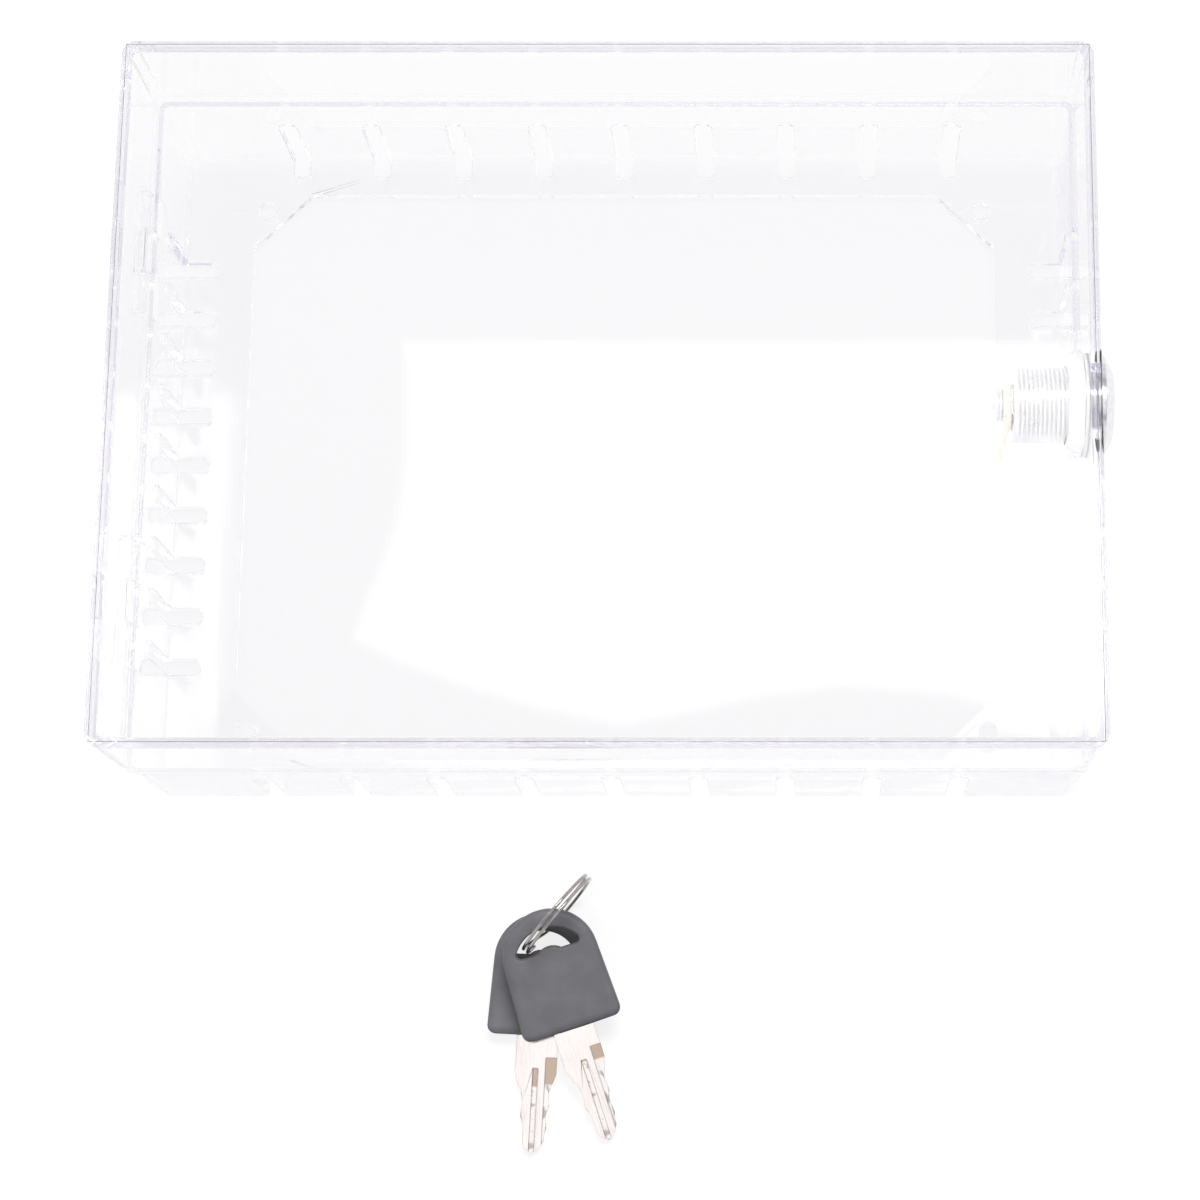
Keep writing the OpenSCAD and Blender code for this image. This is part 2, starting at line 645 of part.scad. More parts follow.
// Moulded head with rounded rims, the ring hole and the blade's pocket
module key_head() difference() {
    rim = round_rim(head_rim_r, 4);
    skinned([
        for (p = rim) at_height(head_outline(p[0]), p[1] - head_t / 2),
        for (i = [4 : -1 : 0]) at_height(head_outline(rim[i][0]), head_t / 2 - rim[i][1])]);
    hole_rim = round_rim(hole_rim_r, 3);
    skinned([
        at_height(hole_outline(hole_rim_r), -head_t / 2 - cut),
        for (p = hole_rim) at_height(hole_outline(p[0]), p[1] - head_t / 2),
        for (i = [3 : -1 : 0]) at_height(hole_outline(hole_rim[i][0]), head_t / 2 - hole_rim[i][1]),
        at_height(hole_outline(hole_rim_r), head_t / 2 + cut)]);
    translate([-tongue_w / 2, -cut, -blade_t / 2]) cube([tongue_w, tongue_l + cut, blade_t]);
}

// One bitted edge of the blade, from the root to the tip: side is 1 or -1
function blade_edge(side, cuts) = concat(
    [[side * root_w / 2, 0], [side * root_w / 2, -root_l], [side * blade_w / 2, -root_l - shoulder_l]],
    [for (i = [0 : len(cuts) - 1], end = [-1, 1])
        [side * (blade_w / 2 - cuts[i]), -cut_first - i * cut_pitch - end * cut_flat / 2]],
    [[side * tip_w / 2, tip_l - blade_l]]);
function reversed(list) = [for (i = [len(list) - 1 : -1 : 0]) list[i]];

// Flat blade with its root, bitting on both edges, a tongue in the head and three milled grooves
module key_blade() difference() {
    translate([0, 0, -blade_t / 2]) union() {
        linear_extrude(blade_t)
            polygon(concat(blade_edge(-1, cuts_left), [[0, -blade_l]], reversed(blade_edge(1, cuts_right))));
        translate([-tongue_w / 2, -0.5, 0]) cube([tongue_w, tongue_l + 0.5, blade_t]);
    }
    for (side = [-1, 1]) rotate([0, side > 0 ? 0 : 180, 0]) {
        translate([-groove_w / 2, -blade_l - cut, blade_t / 2 - groove_deep])
            cube([groove_w, blade_l - groove_start + cut, groove_deep + cut]);
        translate([blade_w / 2 - side_groove_in, -blade_l - cut, blade_t / 2 - groove_deep])
            cube([2 * side_groove_in, blade_l - side_groove_start + cut, groove_deep + cut]);
    }
}

// A key's place: its root, its turn in plan and the tilt that puts its tip down
module placed_key(root, z, turn, tilt) {
    translate([root[0], root[1], z]) rotate([0, 0, turn]) rotate([tilt, 0, 0]) children();
}
module on_front_key() placed_key(front_root, front_root_z, front_turn, front_tilt) children();
module on_back_key() placed_key(back_root, back_root_z, back_turn, back_tilt) children();

module key_blade_front() color([0.85, 0.84, 0.8]) on_front_key() key_blade();
module key_head_front() color([0.2, 0.2, 0.22]) on_front_key() key_head();
module key_blade_back() color([0.85, 0.84, 0.8]) on_back_key() key_blade();
module key_head_back() color([0.2, 0.2, 0.22]) on_back_key() key_head();

// Split ring: one wire wound nearly twice round, which steps aside over the last of its first turn
ring_steps = 24;
ring_count = 45;
ring_step = 360 / ring_steps;
ring_start = -100;
ring_jog = 45;
wire_sides = 8;
turn_pitch = wire_a + turn_gap;
function eased(t) = t <= 0 ? 0 : t >= 1 ? 1 : t * t * (3 - 2 * t);
function ring_section(angle) =
    let (side = turn_pitch * (eased((angle - 360 + ring_jog) / ring_jog) - 0.5))
    [for (k = [0 : wire_sides - 1])
        let (b = 360 * (k + 0.5) / wire_sides, grow = 1 / cos(180 / wire_sides),
            r = ring_mid - grow * wire_r / 2 * cos(b), a = angle + ring_start)
        [r * cos(a), r * sin(a), side + grow * wire_a / 2 * sin(b)]];
ring_rings = [for (i = [0 : ring_count]) ring_section(i * ring_step)];
// Least distance between the first turn's points and the second turn's
ring_gap = min([for (i = [0 : ring_count - ring_steps / 2], j = [i + ring_steps / 2 : ring_count])
    min([for (p = ring_rings[i], q = ring_rings[j]) norm(p - q)])]);

module split_ring() color([0.5, 0.5, 0.52]) {
    echo(least_gap_between_turns = ring_gap);
    translate([ring_pos[0], ring_pos[1], ring_z]) rotate([90 + ring_lean, 0, ring_turn])
        skinned(ring_rings);
}

base_tray();
front_cover();
hinge_pin(hinge_y);  // hinge_pin_top
hinge_pin(-hinge_y);  // hinge_pin_bottom
lock_housing();
nut_washer();
lock_nut();
lock_plug();
wafer(0);  // wafer_1
wafer(1);  // wafer_2
wafer(2);  // wafer_3
wafer(3);  // wafer_4
wafer(4);  // wafer_5
wafer_springs();
cam_stop_washer();
cam();
cam_spring_washer();
cam_screw();
split_ring();
key_blade_front();
key_head_front();
key_blade_back();
key_head_back();
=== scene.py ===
# Clear lock box for a wall thermostat, lying on its back with the cover closed, and its two keys
# in front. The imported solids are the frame, in metres: +X to the lock, +Y up the wall, +Z out of
# the wall.
import json
import math
import bpy
import bmesh
from mathutils import Matrix, Vector

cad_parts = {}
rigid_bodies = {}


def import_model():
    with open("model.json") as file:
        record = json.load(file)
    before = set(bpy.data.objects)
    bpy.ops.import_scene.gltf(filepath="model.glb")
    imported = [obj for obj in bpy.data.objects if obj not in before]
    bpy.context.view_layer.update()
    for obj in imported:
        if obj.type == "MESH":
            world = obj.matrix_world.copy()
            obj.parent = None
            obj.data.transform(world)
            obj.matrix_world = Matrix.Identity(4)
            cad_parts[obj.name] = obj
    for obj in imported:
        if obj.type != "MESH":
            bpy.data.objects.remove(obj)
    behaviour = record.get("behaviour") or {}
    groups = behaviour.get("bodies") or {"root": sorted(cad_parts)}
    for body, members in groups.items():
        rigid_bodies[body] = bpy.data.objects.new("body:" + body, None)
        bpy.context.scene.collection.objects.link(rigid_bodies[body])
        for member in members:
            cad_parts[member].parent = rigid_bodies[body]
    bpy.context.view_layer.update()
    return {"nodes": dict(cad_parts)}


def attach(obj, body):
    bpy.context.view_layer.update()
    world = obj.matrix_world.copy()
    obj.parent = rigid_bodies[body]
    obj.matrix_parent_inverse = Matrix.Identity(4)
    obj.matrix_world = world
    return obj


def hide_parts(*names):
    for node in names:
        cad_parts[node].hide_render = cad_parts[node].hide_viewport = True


for leftover in list(bpy.data.objects):
    bpy.data.objects.remove(leftover)
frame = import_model()

# Camera
# High over the box's near edge and to its right, looking steeply down. The optical axis passes
# right of the picture's middle, as in a picture that was cropped, so the lens is shifted. Light
# that runs along inside a clear wall turns many times, so many bounces are allowed.
CAMERA_PLACE = (0.0435, -0.1924, 0.6404)
CAMERA_TILT = 12.16
WALL_TURNS = 90
WALL_CROSSINGS = 40
scene = bpy.context.scene
camera_data = bpy.data.cameras.new("camera")
camera_data.lens = 82.34
camera_data.sensor_width = 36.0
camera_data.shift_x = -0.167
camera_data.shift_y = 0.073
camera_data.clip_start = 0.01
camera_data.clip_end = 20.0
camera = bpy.data.objects.new("camera", camera_data)
camera.location = CAMERA_PLACE
camera.rotation_euler = (math.radians(CAMERA_TILT), 0.0, 0.0)
scene.collection.objects.link(camera)
scene.camera = camera
scene.view_settings.view_transform = "Standard"
scene.cycles.max_bounces = WALL_TURNS
scene.cycles.transmission_bounces = WALL_CROSSINGS
scene.cycles.glossy_bounces = WALL_TURNS


# Studio sweep
# A round white table that curves up into a low wall, so each view has a white background.
# It shows white to the eye, in metal and through the clear plastic, and keeps a faint shadow.
# Seen through the plastic it glows a little dimmer under the box than far out: a painted shadow of
# the box.
TABLE_RINGS = (0.3, 0.8, 1.4, 2.0)
SWEEP_COVE = 0.5
COVE_STEPS = 12
SWEEP_HEIGHT = 2.2
SWEEP_SIDES = 96
FLOOR_DROP = 0.0002
WHITE = (1.0, 1.0, 1.0, 1.0)
SWEEP_PALE = (0.25, 0.25, 0.25, 1.0)
SWEEP_GLOW = 0.82
GLOW_IN_PAINTED_BOX_SHADOW = 0.74
GLOW_FAR_OUT = 0.97


def link_mesh(name, vertices, faces, smooth=True):
    """A new object in the scene from bare points and faces."""
    mesh = bpy.data.meshes.new(name)
    mesh.from_pydata([tuple(v) for v in vertices], [], faces)
    mesh.validate()
    for polygon in mesh.polygons:
        polygon.use_smooth = smooth
    piece = bpy.data.objects.new(name, mesh)
    scene.collection.objects.link(piece)
    return piece


def node_material(name):
    """An empty node material, with its nodes and links."""
    material = bpy.data.materials.new(name)
    material.use_nodes = True
    material.node_tree.nodes.clear()
    return material, material.node_tree.nodes, material.node_tree.links


def add_node(nodes, kind, settings=None, **inputs):
    """A shader node with its settings, and with inputs named with underscores for blanks."""
    node = nodes.new("ShaderNode" + kind)
    for name, value in (settings or {}).items():
        setattr(node, name, value)
    for name, value in inputs.items():
        node.inputs[name.replace("_", " ")].default_value = value
    return node


def add_math(nodes, links, operation, first, second):
    """The result of a math node on two outputs."""
    node = add_node(nodes, "Math", {"operation": operation})
    links.new(first, node.inputs[0])
    links.new(second, node.inputs[1])
    return node.outputs[0]


def sweep_profile():
    """Distance out and height of each ring of the sweep."""
    points = [(radius, 0.0) for radius in TABLE_RINGS]
    for step in range(1, COVE_STEPS + 1):
        angle = math.radians(90 * step / COVE_STEPS)
        points.append((TABLE_RINGS[-1] + SWEEP_COVE * math.sin(angle),
                       SWEEP_COVE * (1 - math.cos(angle))))
    points.append((TABLE_RINGS[-1] + SWEEP_COVE, SWEEP_HEIGHT))
    return points


sweep_points = [Vector((0.0, 0.0, -FLOOR_DROP))]
for radius, height in sweep_profile():
    for side in range(SWEEP_SIDES):
        angle = 2 * math.pi * side / SWEEP_SIDES
        sweep_points.append(Vector((radius * math.cos(angle), radius * math.sin(angle),
                                    height - FLOOR_DROP)))
sweep_faces = [(0, 1 + side, 1 + (side + 1) % SWEEP_SIDES) for side in range(SWEEP_SIDES)]
for ring in range(len(sweep_profile()) - 1):
    near = 1 + ring * SWEEP_SIDES
    far = near + SWEEP_SIDES
    for side in range(SWEEP_SIDES):
        after = (side + 1) % SWEEP_SIDES
        sweep_faces.append((near + side, far + side, far + after, near + after))
studio_sweep = link_mesh("studio_sweep", sweep_points, sweep_faces)

sweep_white, nodes, links = node_material("sweep_white")
sweep_path = add_node(nodes, "LightPath")
seen_through = sweep_path.outputs["Is Transmission Ray"]
seen = add_math(nodes, links, "MAXIMUM", sweep_path.outputs["Is Camera Ray"],
                sweep_path.outputs["Is Glossy Ray"])
table_place = add_node(nodes, "TexCoord")
table_distance = add_node(nodes, "VectorMath", {"operation": "LENGTH"})
# Through the plastic the glow is lower near the middle: a painted shadow of the box on the table.
through_glow_painted_shadow = add_node(nodes, "MapRange", From_Min=0.25, From_Max=0.9,
                        To_Min=GLOW_IN_PAINTED_BOX_SHADOW, To_Max=GLOW_FAR_OUT)
glow_by_ray = add_node(nodes, "Mix", A=SWEEP_GLOW)
links.new(table_place.outputs["Object"], table_distance.inputs[0])
links.new(table_distance.outputs["Value"], through_glow_painted_shadow.inputs["Value"])
links.new(seen_through, glow_by_ray.inputs["Factor"])
links.new(through_glow_painted_shadow.outputs[0], glow_by_ray.inputs["B"])
sweep_diffuse = add_node(nodes, "BsdfDiffuse", Color=SWEEP_PALE)
sweep_glow = add_node(nodes, "Emission", Color=WHITE)
sweep_sum = add_node(nodes, "AddShader")
sweep_output = add_node(nodes, "OutputMaterial")
links.new(add_math(nodes, links, "MULTIPLY",
                   add_math(nodes, links, "MAXIMUM", seen, seen_through),
                   glow_by_ray.outputs["Result"]), sweep_glow.inputs["Strength"])
links.new(sweep_diffuse.outputs[0], sweep_sum.inputs[0])
links.new(sweep_glow.outputs[0], sweep_sum.inputs[1])
links.new(sweep_sum.outputs[0], sweep_output.inputs["Surface"])
studio_sweep.data.materials.append(sweep_white)


# Studio light
# One wide soft lamp high behind the box, a weaker one on the left and a pale room that darkens
# towards the front. One soft-edged panel overhead is what shows as the bright patch in the clear
# front, and another is what the key blades mirror.
LAMP_AIM = (0.0, -0.05, 0.0)
PANEL_HEIGHT = 1.9
ROOM_LIGHT = (0.97, 0.97, 1.0, 1.0)
ROOM_FRONT = 0.02
ROOM_BACK = 0.54
ROOM_MIRROR = (0.95, 0.96, 1.0, 1.0)
ROOM_MIRROR_STRENGTH = 0.45
OVERHEAD_OUTLINE = [
    (-0.368, 0.368), (-0.326, 0.344), (-0.263, 0.32), (-0.19, 0.299), (-0.118, 0.283),
    (-0.063, 0.293), (0.0, 0.308), (0.084, 0.318), (0.168, 0.312), (0.231, 0.295),
    (0.315, 0.268), (0.441, 0.247), (0.946, 0.247), (0.944, 0.661), (-0.331, 0.661),
    (-0.326, 0.551), (-0.333, 0.483), (-0.353, 0.425)]
KEY_PANEL_OUTLINE = [(-0.5, -1.25), (0.5, -1.25), (0.5, 0.06), (-0.5, 0.06)]


def soft_lamp(name, place, width, depth, power):
    """A rectangular lamp aimed at the box, which is not seen in mirrors or through plastic."""
    data = bpy.data.lights.new(name, "AREA")
    data.shape = "RECTANGLE"
    data.size = width
    data.size_y = depth
    data.energy = power
    lamp = bpy.data.objects.new(name, data)
    lamp.location = place
    aim = Vector(LAMP_AIM) - Vector(place)
    lamp.rotation_euler = aim.to_track_quat("-Z", "Y").to_euler()
    lamp.visible_glossy = False
    lamp.visible_transmission = False
    scene.collection.objects.link(lamp)


soft_lamp("key_lamp", (0.25, 0.75, 1.5), 1.0, 0.7, 24.0)
soft_lamp("fill_lamp", (-1.0, -0.2, 1.3), 0.8, 0.8, 6.0)


def mirror_panel(name, outline, soft, strength):
    """A glowing panel that shows only in mirrors and clear plastic, and fades at its outline."""
    count = len(outline)
    middle = sum((Vector(p) for p in outline), Vector((0.0, 0.0))) / count
    inner = []
    for i in range(count):
        before, here, after = (Vector(outline[(i + k) % count]) for k in (-1, 0, 1))
        along = ((here - before).normalized() + (after - here).normalized()).normalized()
        inner.append(here + Vector((-along.y, along.x)) * soft)
    points = [(x, y, PANEL_HEIGHT) for x, y in outline]
    points += [(x, y, PANEL_HEIGHT) for x, y in inner]
    points.append((middle.x, middle.y, PANEL_HEIGHT))
    faces = [(i, (i + 1) % count, count + (i + 1) % count, count + i) for i in range(count)]
    faces += [(count + i, count + (i + 1) % count, 2 * count) for i in range(count)]
    panel = link_mesh(name, points, faces, smooth=False)
    glow = panel.data.attributes.new("glow", "FLOAT", "POINT")
    for i in range(len(points)):
        glow.data[i].value = 0.0 if i < count else 1.0
    panel.visible_camera = False
    panel.visible_diffuse = False
    panel.visible_shadow = False
    light, nodes, links = node_material(name + "_light")
    share = add_node(nodes, "Attribute", {"attribute_name": "glow"})
    eased = add_node(nodes, "MapRange", {"interpolation_type": "SMOOTHSTEP"})
    glowing = add_node(nodes, "Emission", Color=WHITE, Strength=strength)
    nothing = add_node(nodes, "BsdfTransparent")
    fading = add_node(nodes, "MixShader")
    output = add_node(nodes, "OutputMaterial")
    links.new(share.outputs["Fac"], eased.inputs["Value"])
    links.new(eased.outputs[0], fading.inputs[0])
    links.new(nothing.outputs[0], fading.inputs[1])
    links.new(glowing.outputs[0], fading.inputs[2])
    links.new(fading.outputs[0], output.inputs["Surface"])
    panel.data.materials.append(light)


mirror_panel("overhead_panel", OVERHEAD_OUTLINE, 0.047, 7.5)
mirror_panel("key_panel", KEY_PANEL_OUTLINE, 0.08, 1.15)

world = bpy.data.worlds.new("studio_room")
world.use_nodes = True
scene.world = world
nodes, links = world.node_tree.nodes, world.node_tree.links
nodes.clear()
room_path = add_node(nodes, "LightPath")
room_side = add_node(nodes, "TexCoord")
room_split = add_node(nodes, "SeparateXYZ")
room_fall = add_node(nodes, "MapRange", From_Min=-0.8, From_Max=0.8,
                     To_Min=ROOM_FRONT, To_Max=ROOM_BACK)
room_light = add_node(nodes, "Background", Color=ROOM_LIGHT)
room_mirror = add_node(nodes, "Background", Color=ROOM_MIRROR, Strength=ROOM_MIRROR_STRENGTH)
room_white = add_node(nodes, "Background", Color=WHITE, Strength=1.0)
room_mirrored = add_node(nodes, "MixShader")
room_seen = add_node(nodes, "MixShader")
room_output = add_node(nodes, "OutputWorld")
links.new(room_side.outputs["Generated"], room_split.inputs[0])
links.new(room_split.outputs["Y"], room_fall.inputs["Value"])
links.new(room_fall.outputs[0], room_light.inputs["Strength"])
links.new(room_path.outputs["Is Glossy Ray"], room_mirrored.inputs[0])
links.new(room_light.outputs[0], room_mirrored.inputs[1])
links.new(room_mirror.outputs[0], room_mirrored.inputs[2])
links.new(add_math(nodes, links, "MAXIMUM", room_path.outputs["Is Camera Ray"],
                   room_path.outputs["Is Transmission Ray"]), room_seen.inputs[0])
links.new(room_mirrored.outputs[0], room_seen.inputs[1])
links.new(room_white.outputs[0], room_seen.inputs[2])
links.new(room_seen.outputs[0], room_output.inputs["Surface"])


# Wall tray
# The shallow half that is screwed to the wall, moulded in clear plastic with an eight-sided
# opening, a row of slots in each wall and two pairs of hinge knuckles. Its edges are slightly
# rounded by the mould.
MOULD_EDGE = 0.00025
CASE_WAVE = 0.02
CASE_HAZE = 0.03
CLEAR_IOR = 1.36
CLEAR_DENSITY = 7.0
DEPTH_TINT = (0.64, 0.6, 0.75, 1.0)
LIGHT_TINT = (0.93, 0.92, 0.94, 1.0)


def rounded_form(node, body, edge, material, least_angle=28, shrink=0.0):
    """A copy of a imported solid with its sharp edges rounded, which stands for it."""
    mesh = frame["nodes"][node].data.copy()
    mesh.materials.clear()
    form = bmesh.new()
    form.from_mesh(mesh)
    bmesh.ops.remove_doubles(form, verts=form.verts, dist=1e-6)
    sharp = [e for e in form.edges
             if e.is_manifold and e.calc_face_angle(0.0) > math.radians(least_angle)]
    bmesh.ops.bevel(form, geom=sharp, offset=edge, offset_type="OFFSET", segments=2, profile=0.5,
                    affect="EDGES", clamp_overlap=False, miter_outer="ARC")
    form.normal_update()
    for vert in form.verts:
        vert.co -= vert.normal * shrink
    for face in form.faces:
        face.smooth = True
    form.to_mesh(mesh)
    form.free()
    mesh.name = node + "_form"
    piece = bpy.data.objects.new(node + "_form", mesh)
    scene.collection.objects.link(piece)
    mesh.materials.append(material)
    shade = piece.modifiers.new("flat_faces_stay_flat", "WEIGHTED_NORMAL")
    shade.weight = 90
    shade.keep_sharp = True
    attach(piece, body)
    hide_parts(node)
    return piece


def clear_plastic(name, wave, haze):
    """Clear moulding: slow waves from cooling, and a trace of haze from handling."""
    material, nodes, links = node_material(name)
    coords = add_node(nodes, "TexCoord")
    slow = add_node(nodes, "TexNoise", Scale=22.0, Detail=1.5)
    handling = add_node(nodes, "TexNoise", Scale=160.0, Detail=4.0)
    roughness = add_node(nodes, "MapRange", From_Min=0.35, From_Max=0.75, To_Min=0.0, To_Max=haze)
    waves = add_node(nodes, "Bump", Strength=wave, Distance=0.001)
    plastic = add_node(nodes, "BsdfPrincipled", Base_Color=WHITE, IOR=CLEAR_IOR,
                       Transmission_Weight=1.0)
    depth_tint = add_node(nodes, "VolumeAbsorption", Color=DEPTH_TINT, Density=CLEAR_DENSITY)
    lit_through = add_node(nodes, "BsdfTransparent", Color=LIGHT_TINT)
    path = add_node(nodes, "LightPath")
    chosen = add_node(nodes, "MixShader")
    output = add_node(nodes, "OutputMaterial")
    links.new(coords.outputs["Object"], slow.inputs["Vector"])
    links.new(coords.outputs["Object"], handling.inputs["Vector"])
    links.new(handling.outputs["Fac"], roughness.inputs["Value"])
    links.new(roughness.outputs[0], plastic.inputs["Roughness"])
    links.new(slow.outputs["Fac"], waves.inputs["Height"])
    links.new(waves.outputs["Normal"], plastic.inputs["Normal"])
    links.new(add_math(nodes, links, "MAXIMUM", path.outputs["Is Shadow Ray"],
                       path.outputs["Is Diffuse Ray"]), chosen.inputs[0])
    links.new(plastic.outputs[0], chosen.inputs[1])
    links.new(lit_through.outputs[0], chosen.inputs[2])
    links.new(chosen.outputs[0], output.inputs["Surface"])
    links.new(depth_tint.outputs[0], output.inputs["Volume"])
    return material


clear_case = clear_plastic("clear_case", CASE_WAVE, CASE_HAZE)
rounded_form("base_tray", "base", MOULD_EDGE, clear_case)


# Hinge pins
# Two clear pins, one through each set of three knuckles, with a small domed head at the upper end.
# They are drawn a hair thinner than their tight bores, so that two clear faces never coincide.
PIN_EDGE = 0.0001
PIN_HAZE = 0.05
PIN_SHRINK = 0.00003
clear_pin = clear_plastic("clear_pin", CASE_WAVE, PIN_HAZE)
for pin in ("hinge_pin_top", "hinge_pin_bottom"):
    rounded_form(pin, "base", PIN_EDGE, clear_pin, shrink=PIN_SHRINK)


# Front cover
# The deep half, moulded in the same clear plastic, with a rounded rim and a flat front. It swings
# on the pins, its skin laps over the tray's rim, and the lock sits in its right wall.
rounded_form("front_cover", "cover", MOULD_EDGE, clear_case)


# Lock housing
# A die-cast zinc housing in chrome: a bright coned bezel outside the wall, and a duller threaded
# barrel with two flats inside it. The thread is a 1 mm pitch groove wound down the barrel, and the
# flats run through it.
LOCK_AXIS = Vector((0.110, 0.0, 0.0485))
CAST_EDGE = 0.00012
BARREL_R = 8.75
BARREL_L = 17.5
THREAD_PITCH = 1.0
THREAD_DEEP = 0.35
THREAD_STEPS = 72
THREAD_BEFORE = 0.4
THREAD_BEYOND = 0.6
GROOVE_OVER = 0.4
GROOVE_TOP = 0.46
GROOVE_FOOT = 0.05
BEZEL_CHROME = (0.86, 0.86, 0.88)
BARREL_CHROME = (0.77, 0.77, 0.79)


def on_lock_axis(along, up, out):
    """A point of the lock, in millimetres: along Y, up from the wall behind, out of the wall."""
    return LOCK_AXIS + Vector((out, along, up)) * 0.001


def plated_metal(name, colour, rough, grain=900.0, relief=0.05):
    """Polished or brushed plating: a faint grain and uneven gloss."""
    material, nodes, links = node_material(name)
    coords = add_node(nodes, "TexCoord")
    along = add_node(nodes, "Mapping")
    grains = add_node(nodes, "TexNoise", Scale=grain, Detail=3.0)
    patches = add_node(nodes, "TexNoise", Scale=120.0, Detail=2.0)
    gloss = add_node(nodes, "MapRange", From_Min=0.3, From_Max=0.7,
                     To_Min=rough * 0.7, To_Max=rough * 1.4)
    tones = add_node(nodes, "ValToRGB")
    dark, light = tones.color_ramp.elements
    dark.position = 0.3
    dark.color = [part * 0.9 for part in colour] + [1.0]
    light.position = 0.7
    light.color = list(colour) + [1.0]
    lines = add_node(nodes, "Bump", Strength=relief, Distance=0.0002)
    metal = add_node(nodes, "BsdfPrincipled", Metallic=1.0)
    output = add_node(nodes, "OutputMaterial")
    links.new(coords.outputs["Object"], along.inputs["Vector"])
    links.new(along.outputs["Vector"], grains.inputs["Vector"])
    links.new(coords.outputs["Object"], patches.inputs["Vector"])
    links.new(patches.outputs["Fac"], gloss.inputs["Value"])
    links.new(gloss.outputs[0], metal.inputs["Roughness"])
    links.new(grains.outputs["Fac"], tones.inputs["Fac"])
    links.new(tones.outputs["Color"], metal.inputs["Base Color"])
    links.new(grains.outputs["Fac"], lines.inputs["Height"])
    links.new(lines.outputs["Normal"], metal.inputs["Normal"])
    links.new(metal.outputs[0], output.inputs["Surface"])
    return material


def thread_groove():
    """The thread's groove as a solid, wound past both ends of the barrel."""
    section = ((BARREL_R + GROOVE_OVER, -GROOVE_TOP), (BARREL_R - THREAD_DEEP, -GROOVE_FOOT),
               (BARREL_R - THREAD_DEEP, GROOVE_FOOT), (BARREL_R + GROOVE_OVER, GROOVE_TOP))
    points = []
    for step in range(int((BARREL_L + THREAD_BEYOND) / THREAD_PITCH * THREAD_STEPS) + 1):
        angle = 2 * math.pi * step / THREAD_STEPS
        out = -BARREL_L - THREAD_BEFORE + THREAD_PITCH * step / THREAD_STEPS
        for radius, aside in section:
            points.append(on_lock_axis(radius * math.cos(angle), radius * math.sin(angle),
                                       out + aside))
    rings = len(points) // 4
    faces = []
    for ring in range(rings - 1):
        for side in range(4):
            a, b = ring * 4 + side, ring * 4 + (side + 1) % 4
            faces.append((a, b, b + 4, a + 4))
    faces.append((3, 2, 1, 0))
    faces.append(tuple((rings - 1) * 4 + side for side in range(4)))
    groove = link_mesh("thread_groove", points, faces, smooth=False)
    form = bmesh.new()
    form.from_mesh(groove.data)
    bmesh.ops.recalc_face_normals(form, faces=form.faces)
    form.to_mesh(groove.data)
    form.free()
    return groove


def cut_away(piece, cutter):
    """Cuts one solid out of another and removes the cutter. The cut comes before the shading."""
    cut = piece.modifiers.new("cut", "BOOLEAN")
    cut.operation = "DIFFERENCE"
    cut.solver = "EXACT"
    cut.object = cutter
    bpy.context.view_layer.objects.active = piece
    while piece.modifiers[0] != cut:
        bpy.ops.object.modifier_move_up(modifier=cut.name)
    bpy.ops.object.modifier_apply(modifier=cut.name)
    bpy.data.objects.remove(cutter)


cast_chrome = plated_metal("cast_chrome", BEZEL_CHROME, 0.2, relief=0.03)
lock_housing = rounded_form("lock_housing", "cover", CAST_EDGE, cast_chrome)
cut_away(lock_housing, thread_groove())
barrel_chrome = plated_metal("barrel_chrome", BARREL_CHROME, 0.22, relief=0.04)
lock_housing.data.materials.append(barrel_chrome)
for face in lock_housing.data.polygons:
    if face.center.x < LOCK_AXIS.x:
        face.material_index = 1


# Nut and its washer
# A chamfered hexagon nut in satin chrome and a plated steel washer clamp the housing to the wall
# from inside the cover.
STEEL_EDGE = 0.0001
NUT_EDGE = 0.00018
plated_steel = plated_metal("plated_steel", (0.74, 0.74, 0.76), 0.24, grain=1400.0, relief=0.08)
rounded_form("nut_washer", "cover", STEEL_EDGE, plated_steel)
nut_chrome = plated_metal("nut_chrome", (0.84, 0.84, 0.86), 0.28, relief=0.03)
rounded_form("lock_nut", "cover", NUT_EDGE, nut_chrome)


# Lock plug
# The part that the key turns, nickel plated, with the keyway in its face and a square tail behind.
PLUG_EDGE = 0.0001
plug_zinc = plated_metal("plug_zinc", (0.74, 0.73, 0.72), 0.2, grain=1600.0, relief=0.1)
rounded_form("lock_plug", "lock_core", PLUG_EDGE, plug_zinc)


# Wafers and their springs
# Five stamped brass wafers across the plug, each pushed by a small coil spring in its pocket.
wafer_brass = plated_metal("wafer_brass", (0.83, 0.66, 0.33), 0.25, grain=1800.0, relief=0.1)
for wafer in ("wafer_1", "wafer_2", "wafer_3", "wafer_4", "wafer_5"):
    frame["nodes"][wafer].data.materials.clear()
    frame["nodes"][wafer].data.materials.append(wafer_brass)


# Cam and the pieces that hold it
# A flat steel cam with a yellow zinc finish on the plug's square tail, between a stop washer and a
# spring washer, held by a cross-slot screw.
CAM_EDGE = 0.0002
cam_plated = plated_metal("cam_plated", (0.85, 0.79, 0.68), 0.26, grain=1200.0, relief=0.08)
rounded_form("cam", "lock_core", CAM_EDGE, cam_plated)
for holder in ("cam_stop_washer", "cam_spring_washer", "cam_screw"):
    rounded_form(holder, "lock_core", STEEL_EDGE, plated_steel)


# Split ring
# Hard spring wire with a flattened section, wound almost twice round and nickel plated. It steps
# aside over the last eighth of its first turn, and stands on its rim, leaning on the keys.
RING_OUT = 11.4
WIRE_ACROSS = 1.0
WIRE_ALONG = 0.75
WIRE_SIDES = 20
WIRE_SQUARENESS = 3
RING_TURN_PITCH = 1.2
RING_START = -100.0
RING_SWEEP = 675.0
RING_JOG = 45.0
RING_STEPS = 180
RING_CENTRE = Vector((-0.0125918, -0.110154, 0.0114416))
RING_TURN = 50.3
RING_LEAN = 95.0


